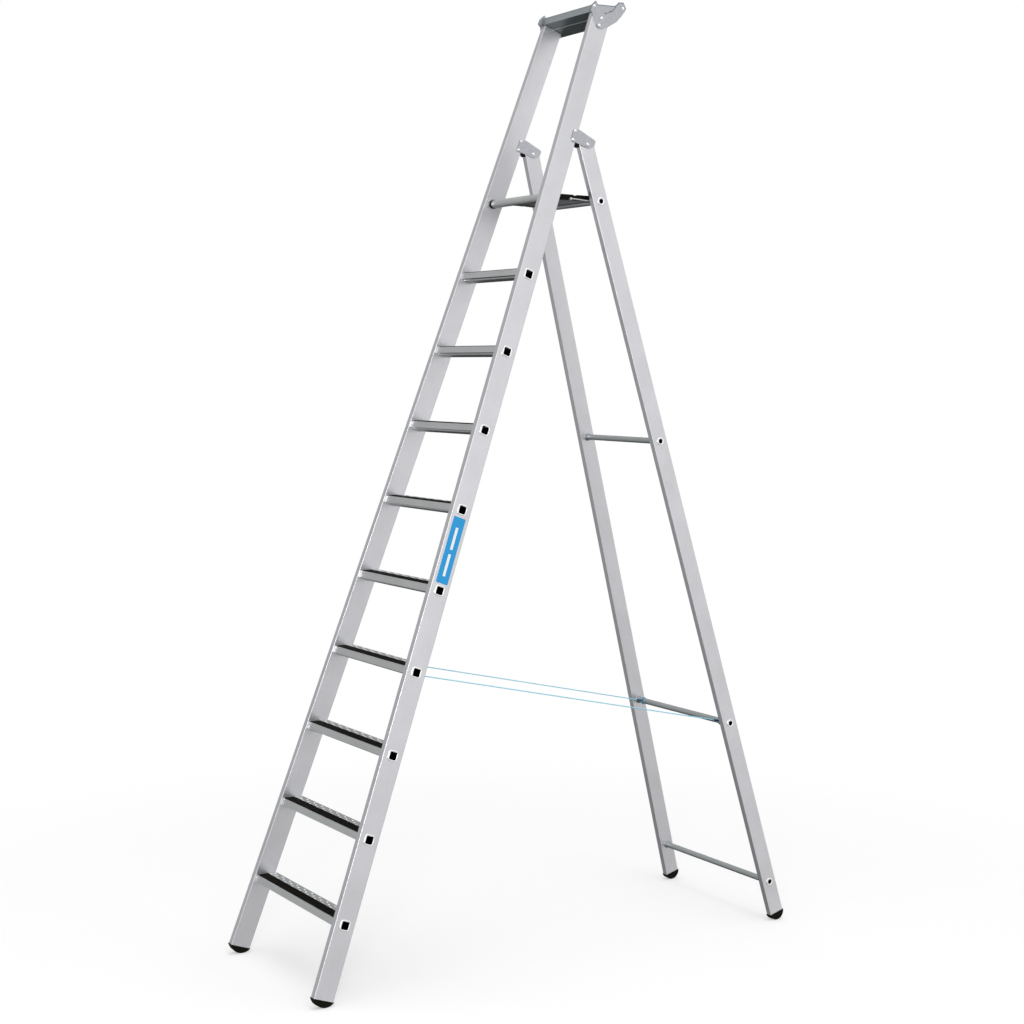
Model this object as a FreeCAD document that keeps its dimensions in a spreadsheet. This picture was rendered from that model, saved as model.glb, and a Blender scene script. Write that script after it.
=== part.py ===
"""Platform stepladder: two tapering sections hinged near the top, nine treads and a platform."""
import FreeCAD, Part
import os
import Sketcher
from math import atan2, cos, degrees, hypot, radians, sin, tan
from FreeCAD import Placement, Rotation, Vector

os.makedirs("parts", exist_ok=True)
doc = FreeCAD.newDocument("Stepladder")

# Driving dimensions, in millimetres and degrees.
# "along" is measured up a stile from the floor, "depth" is measured behind its centre line.
DIMENSIONS = {
    "front_lean": 19.4,
    "rear_lean": 16.3,
    "front_splay": 2.862,
    "rear_splay": 2.912,
    "front_floor_x": 288.7,
    "rear_floor_x": 287.35,
    "front_floor_y": -849.3,
    "rear_floor_y": 854.3,
    "front_stile_depth": 66,
    "front_stile_thick": 21,
    "front_stile_start": 23.4,
    "front_stile_end": 3097,
    "rear_stile_depth": 54,
    "rear_stile_thick": 20.5,
    "rear_stile_start": 26.2,
    "rear_stile_end": 2637,
    "stile_wall": 1.8,
    "stile_corner": 2.6,
    "first_tread": 240.2,
    "tread_pitch": 250,
    "tread_count": 9,
    "tread_top": 17,
    "tread_sheet": 2.5,
    "tread_front": 20.5,
    "tread_rear": 45.5,
    "tread_lip": 19,
    "tread_rear_lip": 11,
    "tube_side": 27,
    "tube_bore": 23.4,
    "tube_corner": 5,
    "bead_side": 30,
    "bead_thick": 3,
    "bead_corner": 7.5,
    "flange_side": 31,
    "flange_thick": 2,
    "flange_corner": 9.1,
    "grip_front": 17,
    "grip_rear": 16,
    "grip_thick": 2,
    "front_foot_half": 35,
    "front_foot_radius": 39.7,
    "front_foot_centre": 42.67,
    "rear_foot_half": 28.5,
    "rear_foot_radius": 28.7,
    "rear_foot_centre": 30.49,
    "foot_thick": 23,
    "foot_lip": 20,
    "plug_length": 30,
    "hinge_along": 2699.5,
    "hinge_depth": 75.9,
    "hinge_pin_diameter": 8,
    "hinge_play": 0.05,
    "hinge_plate_thick": 3,
    "hinge_relief": 1,
    "hinge_relief_start": 33.5,
    "pin_head_radius": 5.6,
    "pin_head_height": 2.5,
    "pin_end_play": 0.5,
    "rivet_radius": 3.2,
    "rivet_head_radius": 4.8,
    "rivet_head_height": 1.8,
    "head_taper": 0.68,
    "rung_diameter": 18,
    "rung_bore": 15.2,
    "rung_depth": 1,
    "rung_flange_radius": 12,
    "collar_radius": 12.5,
    "collar_length": 12,
    "collar_short": 3,
    "top_rung": 2448,
    "second_rung": 1670,
    "third_rung": 705,
    "bottom_rung": 137.5,
    "nose_y": -23.35,
    "nose_z": 2352.5,
    "nose_radius": 12.5,
    "nose_half": 146.7,
    "nose_bore": 8.05,
    "bush_radius": 14,
    "bush_inner_face": 147,
    "bush_stub_radius": 8,
    "bush_stub_length": 22,
    "bush_overrun": 20,
    "nose_bore_depth": 26,
    "nose_bore_overrun": 1,
    "deck_rear_y": 150,
    "deck_bottom_z": 2351,
    "deck_top_z": 2366,
    "deck_sheet": 2.2,
    "deck_bays": 6,
    "deck_nose_gap": 3,
    "deck_half": 131,
    "cap_outer": 135,
    "cap_hump": 2.3,
    "rest_rear_y": 181,
    "rest_bottom_z": 2359.3,
    "link_pin_y": 77.2,
    "link_pin_z": 2354.7,
    "link_pin_radius": 4,
    "link_pin_tip": 141.9,
    "link_offset": 144.5,
    "link_wire": 4.5,
    "link_eye_play": 0.05,
    "tray_gap": 0.6,
    "tray_sheet": 2,
    "tray_front": 36,
    "tray_rear": 51,
    "tray_front_wall": 23,
    "tray_rear_wall": 43,
    "end_plate_thick": 3,
    "end_lip_width": 10,
    "slot_reach": 20,
    "label_start": 1262,
    "label_end": 1466,
    "label_half": 21,
    "label_thick": 0.4,
    "cord_diameter": 3.5,
    "cord_anchor_along": 987,
    "cord_anchor_depth": 25,
    "cord_anchor_radius": 6,
    "cord_anchor_length": 9,
    "cord_loop_x": 213,
    "cord_loop_radius": 12,
    "cord_loop_width": 7,
    "ferrule_standoff": 0.5,
    "ferrule_radius": 3.2,
    "ferrule_length": 22,
}

sheet = doc.addObject("Spreadsheet::Sheet", "Spec")
for row, (alias, amount) in enumerate(DIMENSIONS.items(), start=1):
    sheet.set(f"A{row}", alias.replace("_", " "))
    sheet.set(f"B{row}", str(amount))
    sheet.setAlias(f"B{row}", alias)
doc.recompute()


class Size:
    """A length that carries its number and its spreadsheet expression together."""

    def __init__(self, value, text=None):
        self.value = float(value)
        self.text = text or f"({value:.6g})"

    def joined(self, sign, other, value):
        return Size(value, f"({self.text} {sign} {other.text})")

    def __add__(self, other):
        other = sized(other)
        return self.joined("+", other, self.value + other.value)

    def __sub__(self, other):
        other = sized(other)
        return self.joined("-", other, self.value - other.value)

    def __mul__(self, other):
        other = sized(other)
        return self.joined("*", other, self.value * other.value)

    def __truediv__(self, other):
        other = sized(other)
        return self.joined("/", other, self.value / other.value)

    def __neg__(self):
        return sized(0) - self


def sized(item):
    """Give a plain number as a Size; a Size passes through."""
    return item if isinstance(item, Size) else Size(item)


class Spec:
    """The spreadsheet's cells as Sizes, looked up by alias."""

    def __getattr__(self, alias):
        return Size(sheet.get(alias), f"Spec.{alias}")


spec = Spec()


def bind(item, **sizes):
    """Bind an object's properties to the spreadsheet."""
    for field, size in sizes.items():
        item.setExpression(field, sized(size).text)


# Places -----------------------------------------------------------------------------------------

FRONT_LEAN = radians(spec.front_lean.value)
REAR_LEAN = radians(spec.rear_lean.value)
FRONT_STRETCH = 1 / cos(radians(spec.front_splay.value))
REAR_STRETCH = 1 / cos(radians(spec.rear_splay.value))


def front_point(along, depth):
    """Y and Z of a point on the front section, from its place along and behind the stiles."""
    y = spec.front_floor_y.value + along * sin(FRONT_LEAN) + depth * cos(FRONT_LEAN)
    return y, along * cos(FRONT_LEAN) - depth * sin(FRONT_LEAN)


def rear_point(along, depth):
    """Y and Z of a point on the rear section."""
    y = spec.rear_floor_y.value - along * sin(REAR_LEAN) + depth * cos(REAR_LEAN)
    return y, along * cos(REAR_LEAN) + depth * sin(REAR_LEAN)


def square_to(lean_y, lean_z, slope):
    """Rotation whose Z runs up a stile that leans inwards by slope, with Y square behind it."""
    up = Vector(-slope, lean_y, lean_z)
    back = Vector(0, lean_z, -lean_y)
    return Rotation(back.cross(up), back, up, "ZYX")


def front_place(side, along=0):
    """Placement on a front stile's centre line: X across, Y behind, Z up the stile."""
    slope = tan(radians(spec.front_splay.value))
    y, z = front_point(along, 0)
    turn = square_to(sin(FRONT_LEAN), cos(FRONT_LEAN), side * slope)
    return Placement(Vector(side * (spec.front_floor_x.value - slope * along), y, z), turn)


def rear_place(side, along=0):
    """Placement on a rear stile's centre line."""
    slope = tan(radians(spec.rear_splay.value))
    y, z = rear_point(along, 0)
    turn = square_to(-sin(REAR_LEAN), cos(REAR_LEAN), side * slope)
    return Placement(Vector(side * (spec.rear_floor_x.value - slope * along), y, z), turn)


def level_place(point, lean=0):
    """Placement on the ladder's middle plane, leaning back by lean."""
    y, z = point
    return Placement(Vector(0, y, z), Rotation(Vector(1, 0, 0), -degrees(lean)))


def shifted(place, x=0, y=0, z=0):
    return place * Placement(Vector(x, y, z), Rotation())


THROUGH = 700  # longer than the ladder is wide, for tubes and holes that are trimmed afterwards
STILE_SPACE = 320  # width and depth of the blocks that trim pieces to a stile's faces
STILE_LONGEST = 3280
SIDES = {"left": -1, "right": 1}
CROSSWAYS = Rotation(Vector(0, 1, 0), 90)


# Building blocks --------------------------------------------------------------------------------

def origin_plane(body, role):
    return next(item for item in body.Origin.OriginFeatures if item.Role == role)


def draw_outline(sketch, corners):
    """Draw a closed outline of straight lines, each corner dimensioned from the origin."""
    count = len(corners)
    ends = [Vector(sized(across).value, sized(up).value, 0) for across, up in corners]
    for number in range(count):
        sketch.addGeometry(Part.LineSegment(ends[number], ends[(number + 1) % count]), False)
    for number in range(count):
        sketch.addConstraint(Sketcher.Constraint("Coincident", number, 2, (number + 1) % count, 1))
    for number, corner in enumerate(corners):
        for kind, size in zip(("DistanceX", "DistanceY"), corner):
            dimension(sketch, kind, number, sized(size))


def dimension(sketch, kind, number, size):
    """Dimension a corner from the origin, keeping the number positive."""
    if size.value >= 0:
        key = sketch.addConstraint(Sketcher.Constraint(kind, -1, 1, number, 1, size.value))
        sketch.setExpression(f"Constraints[{key}]", size.text)
    else:
        key = sketch.addConstraint(Sketcher.Constraint(kind, number, 1, -1, 1, -size.value))
        sketch.setExpression(f"Constraints[{key}]", (-size).text)


def prism(name, corners, length, place, plane="YZ_Plane", middle=False, corner_radius=None):
    """A body padded from an outline, with its long corners rounded if asked."""
    body = doc.addObject("PartDesign::Body", name)
    sketch = body.newObject("Sketcher::SketchObject", name + "_outline")
    sketch.AttachmentSupport = (origin_plane(body, plane), [""])
    sketch.MapMode = "FlatFace"
    draw_outline(sketch, corners)
    pad = body.newObject("PartDesign::Pad", name + "_pad")
    pad.Profile = sketch
    bind(pad, Length=length)
    if middle:
        pad.SideType = "Symmetric"
    doc.recompute()
    if corner_radius:
        along = 0 if plane == "YZ_Plane" else 2
        long_edges = [
            f"Edge{number}" for number, edge in enumerate(pad.Shape.Edges, start=1)
            if abs(abs((edge.Vertexes[-1].Point - edge.Vertexes[0].Point)[along]) - edge.Length) < 1e-6
        ]
        rounding = body.newObject("PartDesign::Fillet", name + "_rounding")
        rounding.Base = (pad, long_edges)
        bind(rounding, Radius=corner_radius)
        pad.Visibility = False
    body.Placement = place
    return body


def rectangle(low_across, high_across, low_up, high_up):
    return [(low_across, low_up), (high_across, low_up), (high_across, high_up), (low_across, high_up)]


def centred(across, up):
    return rectangle(-sized(across) / 2, sized(across) / 2, -sized(up) / 2, sized(up) / 2)


def box(name, length, width, height, place):
    item = doc.addObject("Part::Box", name)
    bind(item, Length=length, Width=width, Height=height)
    item.Placement = place
    return item


def rod(name, radius, length, place):
    """A cylinder along the place's X axis, starting at its origin."""
    item = doc.addObject("Part::Cylinder", name)
    bind(item, Radius=radius, Height=length)
    item.Placement = place * Placement(Vector(0, 0, 0), CROSSWAYS)
    return item


def cone(name, start_radius, end_radius, length, place):
    item = doc.addObject("Part::Cone", name)
    bind(item, Radius1=start_radius, Radius2=end_radius, Height=length)
    item.Placement = place * Placement(Vector(0, 0, 0), CROSSWAYS)
    return item


def fuse(name, items):
    item = doc.addObject("Part::MultiFuse", name)
    item.Shapes = items
    return item


def cut(name, base, tool):
    item = doc.addObject("Part::Cut", name)
    item.Base = base
    item.Tool = tool
    return item


nodes = []


def node(item, label):
    """Name a finished sub-part; its label names its file."""
    item.Label = label
    nodes.append(item)
    return item


def beyond(name, places, face):
    """The space outside both stiles' planes at face, a distance outwards from their centre lines."""
    blocks = []
    for side_name, side in SIDES.items():
        start = face.value if side > 0 else -face.value - STILE_SPACE
        place = shifted(places(side), start, -STILE_SPACE / 2)
        blocks.append(box(f"{name}_{side_name}", STILE_SPACE, STILE_SPACE, STILE_LONGEST, place))
    return fuse(name, blocks)


def across(item_name, radius, place, length=THROUGH):
    """A rod along X, centred on the ladder's middle plane."""
    return rod(item_name, radius, length, shifted(place, -sized(length).value / 2))


# Front section ----------------------------------------------------------------------------------

inside_front = beyond("front_inside", front_place, -spec.front_stile_thick / 2)
outside_front = beyond("front_outside", front_place, spec.front_stile_thick / 2)
outside_flange = beyond("front_flange_outside", front_place, spec.front_stile_thick / 2 + spec.flange_thick)

tread_alongs = [spec.first_tread.value + step * spec.tread_pitch.value
                for step in range(int(spec.tread_count.value))]
hinge_point = front_point(spec.hinge_along.value, spec.hinge_depth.value)
HINGE_RIVETS = [(2720, 20.2), (2691.6, 20.6)]
PLATE_RIVETS = [(3091, 1.9), (3066.5, 0.5)]


def stile_tube(name, depth, thick, length, place):
    """A hollow oval-cornered stile along the place's Z axis."""
    outer = prism(name + "_outer", centred(thick, depth), length, place, "XY_Plane",
                  corner_radius=spec.stile_corner)
    wall = spec.stile_wall * 2
    inner = prism(name + "_hollow", centred(thick - wall, depth - wall), length, place, "XY_Plane",
                  corner_radius=spec.stile_corner / 2)
    return cut(name + "_tube", outer, inner)


def stile_cross_rod(name, side, along, depth, radius, start, length):
    """A rod square to a front stile's faces, starting at start across its thickness."""
    return rod(name, radius, length, shifted(front_place(side, along), start, depth))


tread_holes = fuse("tread_holes", [
    prism(f"tread_hole_{number}", centred(spec.tube_side, spec.tube_side), THROUGH,
          level_place(front_point(along, 0), FRONT_LEAN), middle=True, corner_radius=spec.tube_corner)
    for number, along in enumerate(tread_alongs, start=1)
])


def headed_pin(name, radius, head_radius, head_height, length, place, heads=(-1, 1)):
    """A shank along the place's X axis, with a coned head on the ends asked for."""
    pieces = [rod(name + "_shank", radius, length, place)]
    tip_radius = head_radius * spec.head_taper
    if -1 in heads:
        pieces.append(cone(name + "_near", tip_radius, head_radius, head_height,
                           shifted(place, -head_height.value)))
    if 1 in heads:
        pieces.append(cone(name + "_far", head_radius, tip_radius, head_height,
                           shifted(place, sized(length).value)))
    return fuse(name, pieces)


def rivet(name, side, along, depth, inner_face, outer_face, heads=(-1, 1)):
    """A rivet through a front stile; faces are distances outwards from the centre line."""
    low, high = sorted((side * inner_face, side * outer_face))
    return headed_pin(name, spec.rivet_radius, spec.rivet_head_radius, spec.rivet_head_height,
                      high - low, shifted(front_place(side, along), low, depth), heads)


half_front = spec.front_stile_thick.value / 2
plate_face = half_front + spec.hinge_plate_thick.value
end_plate_face = half_front + spec.end_plate_thick.value

for side_name, side in SIDES.items():
    start = spec.front_stile_start
    length = (spec.front_stile_end - start) * FRONT_STRETCH
    tube = stile_tube(f"front_stile_{side_name}", spec.front_stile_depth, spec.front_stile_thick,
                      length, front_place(side, start.value))
    drillings = [
        stile_cross_rod(f"front_drilling_{side_name}_{number}", side, along, depth, spec.rivet_radius,
                        -2 * half_front, 4 * half_front)
        for number, (along, depth) in enumerate(HINGE_RIVETS + PLATE_RIVETS)
    ]
    openings = fuse(f"front_openings_{side_name}", [tread_holes] + drillings)
    node(cut(f"front_stile_{side_name}_drilled", tube, openings), f"front_stile_{side_name}")


def domed_foot(name, radius, half, centre, start, place, hollow_depth, hollow_thick):
    """A plastic foot: a round-bottomed shoe with a plug up the stile's hollow."""
    thick = spec.foot_thick
    wheel = rod(name + "_round", radius, thick, shifted(place, -thick.value / 2, 0, centre))
    lip = spec.foot_lip
    keep = box(name + "_keep", thick, half * 2, start + lip,
               shifted(place, -thick.value / 2, -half.value, -lip.value))
    shoe = doc.addObject("Part::MultiCommon", name + "_shoe")
    shoe.Shapes = [wheel, keep]
    plug = prism(name + "_plug", centred(hollow_thick, hollow_depth), spec.plug_length,
                 shifted(place, 0, 0, start.value), "XY_Plane", corner_radius=spec.stile_corner / 2)
    return fuse(name + "_solid", [shoe, plug])


for side_name, side in SIDES.items():
    wall = spec.stile_wall * 2
    foot = domed_foot(f"front_foot_{side_name}", spec.front_foot_radius, spec.front_foot_half,
                      spec.front_foot_centre.value, spec.front_stile_start, front_place(side),
                      spec.front_stile_depth - wall, spec.front_stile_thick - wall)
    node(foot, f"front_foot_{side_name}")


def tread(number, along):
    """One step: a folded top on a square tube that runs through both stiles and is flared outside."""
    centre = level_place(front_point(along, 0))
    top = spec.tread_top
    web = spec.tread_sheet
    lean = tan(FRONT_LEAN)
    lip_end = top - spec.tread_lip
    folded = [
        (-spec.tread_front, top), (spec.tread_rear, top),
        (spec.tread_rear, top - spec.tread_rear_lip),
        (spec.tread_rear - web, top - spec.tread_rear_lip), (spec.tread_rear - web, top - web),
        (-spec.tread_front - web * lean + web, top - web),
        (-spec.tread_front - spec.tread_lip * lean + web, lip_end),
        (-spec.tread_front - spec.tread_lip * lean, lip_end),
    ]
    plate = prism(f"tread_plate_{number}", folded, THROUGH, centre, middle=True)
    trimmed_plate = cut(f"tread_plate_{number}_trimmed", plate, inside_front)
    square = prism(f"tread_tube_{number}", centred(spec.tube_side, spec.tube_side), THROUGH,
                   level_place(front_point(along, 0), FRONT_LEAN), middle=True,
                   corner_radius=spec.tube_corner)
    pieces = [trimmed_plate, cut(f"tread_tube_{number}_trimmed", square, outside_flange)]
    for side_name, side in SIDES.items():
        bead_start = -half_front - spec.bead_thick.value if side > 0 else half_front
        flange_start = half_front if side > 0 else -half_front - spec.flange_thick.value
        pieces.append(prism(f"tread_bead_{number}_{side_name}", centred(spec.bead_side, spec.bead_side),
                            spec.bead_thick, shifted(front_place(side, along), bead_start),
                            corner_radius=spec.bead_corner))
        pieces.append(prism(f"tread_flange_{number}_{side_name}",
                            centred(spec.flange_side, spec.flange_side), spec.flange_thick,
                            shifted(front_place(side, along), flange_start),
                            corner_radius=spec.flange_corner))
    bore = prism(f"tread_bore_{number}", centred(spec.tube_bore, spec.tube_bore), THROUGH,
                 level_place(front_point(along, 0), FRONT_LEAN), middle=True,
                 corner_radius=spec.tube_corner / 2)
    return cut(f"tread_{number}_bored", fuse(f"tread_{number}_solid", pieces), bore)


def grip(number, along):
    """The black strip set on the front half of a tread."""
    top = spec.tread_top
    strip = prism(f"grip_strip_{number}",
                  rectangle(-spec.grip_front, spec.grip_rear, top, top + spec.grip_thick), THROUGH,
                  level_place(front_point(along, 0)), middle=True)
    return cut(f"grip_{number}_trimmed", strip, inside_front)


for number, along in enumerate(tread_alongs, start=1):
    node(tread(number, along), f"tread_{number}")
    node(grip(number, along), f"tread_grip_{number}")

# Tool tray and its end plates ---------------------------------------------------------------------

tray_along = spec.front_stile_end + spec.tray_gap
tray_place = level_place(front_point(tray_along.value, 0), FRONT_LEAN)
sheet_metal = spec.tray_sheet
tray_outline = [
    (-spec.tray_front, 0), (spec.tray_rear, 0), (spec.tray_rear, spec.tray_rear_wall),
    (spec.tray_rear - sheet_metal, spec.tray_rear_wall), (spec.tray_rear - sheet_metal, sheet_metal),
    (-spec.tray_front + sheet_metal, sheet_metal), (-spec.tray_front + sheet_metal, spec.tray_front_wall),
    (-spec.tray_front, spec.tray_front_wall),
]
tray_channel = prism("tray_channel", tray_outline, THROUGH, tray_place, middle=True)
node(cut("tray_trimmed", tray_channel, outside_front), "tool_tray")

END_PLATE_BASE = 3100
end_plate_outline = [
    (-36.5, 32.4), (-47.7, 12), (-46.2, -4.6), (-36.8, -9.3), (-30, -20), (-11, -38.7), (1.8, -44),
    (16.5, -38), (31.6, -24.8), (55.9, 3.5), (69.1, 31.2), (73.9, 46.5), (77, 59.8), (61.9, 73.6),
    (45.9, 66.3), (42.7, 59.3), (35, 48.5), (-14.3, 28.7), (-25.1, 23.3),
]
slot_outline = [(41.4, 47.1), (31.5, 27.5), (7.1, 6.9), (5.3, 8.7), (29.6, 29.4), (39.2, 48.4)]
flange_outline = rectangle(-47.8, -45.4, -4, 13)
LUG_RIVETS = [(3114.8, -36.1), (3155.4, 67.2)]

for side_name, side in SIDES.items():
    base = front_place(side, END_PLATE_BASE)
    start = half_front if side > 0 else -end_plate_face
    sheet_place = shifted(base, start)
    plate = prism(f"end_plate_{side_name}", end_plate_outline, spec.end_plate_thick, sheet_place,
                  corner_radius=1.8)
    lip_width = spec.end_lip_width
    lip_start = end_plate_face - lip_width.value if side > 0 else -end_plate_face
    lip = prism(f"end_plate_lip_{side_name}", flange_outline, lip_width, shifted(base, lip_start))
    reach = spec.slot_reach
    slot = prism(f"end_plate_slot_{side_name}", slot_outline, reach, shifted(base, start - reach.value / 2))
    drillings = [
        stile_cross_rod(f"plate_drilling_{side_name}_{number}", side, along, depth, spec.rivet_radius,
                        -2 * half_front, 4 * half_front)
        for number, (along, depth) in enumerate(PLATE_RIVETS + LUG_RIVETS)
    ]
    solid = fuse(f"end_plate_{side_name}_solid", [plate, lip])
    openings = fuse(f"end_plate_{side_name}_openings", [slot] + drillings)
    node(cut(f"end_plate_{side_name}_drilled", solid, openings), f"tray_end_plate_{side_name}")

tray_rivets = []
for side_name, side in SIDES.items():
    for number, (along, depth) in enumerate(PLATE_RIVETS, start=1):
        tray_rivets.append(rivet(f"tray_rivet_{side_name}_{number}", side, along, depth,
                                 -half_front, end_plate_face, heads=[side]))
    for number, (along, depth) in enumerate(LUG_RIVETS, start=3):
        tray_rivets.append(rivet(f"tray_rivet_{side_name}_{number}", side, along, depth,
                                 half_front, end_plate_face, heads=[side]))
node(fuse("tray_rivet_group", tray_rivets), "tray_rivets")

# Hinge plates, rivets and pins --------------------------------------------------------------------

HINGE_BASE = 2700
hinge_outline = [(13, 21), (32, 29.5), (101, 22), (100.5, 1), (86, -10), (15, -15)]
pin_radius = spec.hinge_pin_diameter / 2
hinge_hole = across("hinge_hole", pin_radius, level_place(hinge_point))
RELIEF_SIDE = 90

hinge_rivets = []
for side_name, side in SIDES.items():
    base = front_place(side, HINGE_BASE)
    relief_half = half_front + spec.hinge_relief.value
    relief_place = shifted(base, -relief_half, spec.hinge_relief_start.value, -RELIEF_SIDE / 2)
    relief = box(f"hinge_relief_{side_name}", 2 * relief_half, RELIEF_SIDE, RELIEF_SIDE, relief_place)
    for face_name, face in (("inner", -plate_face), ("outer", half_front)):
        start = face if side > 0 else -face - spec.hinge_plate_thick.value
        name = f"hinge_plate_{side_name}_{face_name}"
        sheet_plate = prism(name + "_sheet", hinge_outline, spec.hinge_plate_thick, shifted(base, start),
                            corner_radius=6)
        drillings = [
            stile_cross_rod(f"{name}_drilling_{number}", side, along, depth, spec.rivet_radius,
                            -2 * half_front, 4 * half_front)
            for number, (along, depth) in enumerate(HINGE_RIVETS)
        ]
        openings = fuse(name + "_openings", drillings + [hinge_hole, relief])
        node(cut(name + "_drilled", sheet_plate, openings), name)
    for number, (along, depth) in enumerate(HINGE_RIVETS, start=1):
        hinge_rivets.append(rivet(f"hinge_rivet_{side_name}_{number}", side, along, depth,
                                  -plate_face, plate_face))
node(fuse("hinge_rivet_group", hinge_rivets), "hinge_rivets")

for side_name, side in SIDES.items():
    slope = tan(radians(spec.front_splay.value))
    middle = side * (spec.front_floor_x.value - slope * spec.hinge_along.value)
    reach = plate_face + spec.pin_end_play.value
    pin = headed_pin(f"hinge_pin_{side_name}_solid", pin_radius, spec.pin_head_radius,
                     spec.pin_head_height, 2 * reach, shifted(level_place(hinge_point), middle - reach))
    node(pin, f"hinge_pin_{side_name}")

# Rear section -----------------------------------------------------------------------------------

rung_alongs = [spec.top_rung.value, spec.second_rung.value, spec.third_rung.value, spec.bottom_rung.value]
rung_places = [level_place(rear_point(along, spec.rung_depth.value)) for along in rung_alongs]
inside_rear = beyond("rear_inside", rear_place, -spec.rear_stile_thick / 2)
outside_rear = beyond("rear_outside", rear_place, spec.rear_stile_thick / 2 + spec.flange_thick)
rung_radius = spec.rung_diameter / 2
half_rear = spec.rear_stile_thick.value / 2

rung_holes = [across(f"rung_hole_{number}", rung_radius, place)
              for number, place in enumerate(rung_places, start=1)]
pivot_hole = across("pivot_hole", pin_radius + spec.hinge_play, level_place(hinge_point))
rear_holes = fuse("rear_holes", rung_holes + [pivot_hole])

cap_outline = [(27, 0), (27, 3), (-20, 3), (-33, -2), (-33, -10), (-27, -13), (-27, 0)]

for side_name, side in SIDES.items():
    start = spec.rear_stile_start
    length = (spec.rear_stile_end - start) * REAR_STRETCH
    tube = stile_tube(f"rear_stile_{side_name}", spec.rear_stile_depth, spec.rear_stile_thick,
                      length, rear_place(side, start.value))
    node(cut(f"rear_stile_{side_name}_drilled", tube, rear_holes), f"rear_stile_{side_name}")
    wall = spec.stile_wall * 2
    foot = domed_foot(f"rear_foot_{side_name}", spec.rear_foot_radius, spec.rear_foot_half,
                      spec.rear_foot_centre.value, start, rear_place(side),
                      spec.rear_stile_depth - wall, spec.rear_stile_thick - wall)
    node(foot, f"rear_foot_{side_name}")
    end = rear_place(side, spec.rear_stile_end.value)
    cover = prism(f"rear_cap_{side_name}_cover", cap_outline, spec.rear_stile_thick,
                  shifted(end, -half_rear))
    plug = box(f"rear_cap_{side_name}_plug", spec.rear_stile_thick - wall - 0.6,
               20, 10, shifted(end, -half_rear + spec.stile_wall.value + 0.3, -22, -8))
    node(fuse(f"rear_cap_{side_name}_solid", [cover, plug]), f"rear_top_cap_{side_name}")


def rung(number, place, collar_length):
    """A round rear rung: flared outside the stiles, with a swaged collar against their inner faces."""
    slope = tan(radians(spec.rear_splay.value))
    face = spec.rear_floor_x.value - slope * rung_alongs[number - 1] - half_rear
    tube = cut(f"rung_tube_{number}_trimmed", across(f"rung_tube_{number}", rung_radius, place),
               outside_rear)
    length = sized(collar_length)
    root = spec.flange_thick.value
    collars = []
    for side_name, side in SIDES.items():
        name = f"rung_collar_{number}_{side_name}"
        wide, narrow = spec.collar_radius, rung_radius
        collars.append(rod(name + "_face", wide, 2 * root, shifted(place, side * face - root)))
        if side > 0:
            collars.append(cone(name, narrow, wide, length, shifted(place, face - root - length.value)))
        else:
            collars.append(cone(name, wide, narrow, length, shifted(place, -face + root)))
    trimmed = cut(f"rung_collars_{number}_trimmed", fuse(f"rung_collars_{number}", collars), inside_rear)
    pieces = [tube, trimmed]
    for side_name, side in SIDES.items():
        start = half_rear if side > 0 else -half_rear - spec.flange_thick.value
        pieces.append(rod(f"rung_flange_{number}_{side_name}", spec.rung_flange_radius, spec.flange_thick,
                          shifted(rear_place(side, rung_alongs[number - 1]), start,
                                  spec.rung_depth.value)))
    bore = across(f"rung_bore_{number}", spec.rung_bore / 2, place)
    return cut(f"rung_{number}_bored", fuse(f"rung_{number}_solid", pieces), bore)


for number, place in enumerate(rung_places, start=1):
    collar_length = spec.collar_short if number == 1 else spec.collar_length
    node(rung(number, place, collar_length), f"rear_rung_{number}")

# Platform ---------------------------------------------------------------------------------------

nose_point = (spec.nose_y.value, spec.nose_z.value)
nose_place = level_place(nose_point)
floor_place = level_place((0, 0))

nose_tube = across("nose_tube", spec.nose_radius, nose_place, spec.nose_half * 2)
nose_end = spec.nose_half.value + spec.nose_bore_overrun.value
bore_depth = spec.nose_bore_depth
nose_bores = fuse("nose_bores", [
    rod("nose_bore_left", spec.nose_bore, bore_depth, shifted(nose_place, -nose_end)),
    rod("nose_bore_right", spec.nose_bore, bore_depth, shifted(nose_place, nose_end - bore_depth.value)),
])
node(cut("nose_bored", nose_tube, nose_bores), "platform_nose")

for side_name, side in SIDES.items():
    inner_face = spec.bush_inner_face.value
    overrun = spec.bush_overrun
    ring_start = inner_face if side > 0 else -inner_face - overrun.value
    ring = rod(f"bush_ring_{side_name}", spec.bush_radius, overrun, shifted(nose_place, ring_start))
    stub_length = spec.bush_stub_length + overrun
    stub_start = inner_face - spec.bush_stub_length.value if side > 0 else -inner_face - overrun.value
    stub = rod(f"bush_stub_{side_name}", spec.bush_stub_radius, stub_length,
               shifted(nose_place, stub_start))
    solid = fuse(f"bush_{side_name}_solid", [ring, stub])
    node(cut(f"bush_{side_name}_trimmed", solid, inside_front), f"platform_bush_{side_name}")

deck_top = spec.deck_top_z
deck_bottom = spec.deck_bottom_z
web = spec.deck_sheet
deck_outline = rectangle(spec.nose_y + 2, spec.deck_rear_y, deck_bottom, deck_top)
deck_block = prism("deck_block", deck_outline, spec.deck_half * 2, floor_place, middle=True)
bay_start = spec.nose_y + spec.nose_radius + spec.deck_nose_gap
bay_pitch = (spec.deck_rear_y - bay_start) / spec.deck_bays
bays = []
for number in range(int(spec.deck_bays.value)):
    low = bay_start + bay_pitch * number
    high = low + bay_pitch - web
    bays.append(prism(f"deck_bay_{number}", rectangle(low, high, deck_bottom - web, deck_top - web),
                      THROUGH, floor_place, middle=True))
nose_clear = across("nose_clear", spec.nose_radius, nose_place)
node(cut("deck_ribbed", deck_block, fuse("deck_bays", bays + [nose_clear])), "platform_deck")

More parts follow.
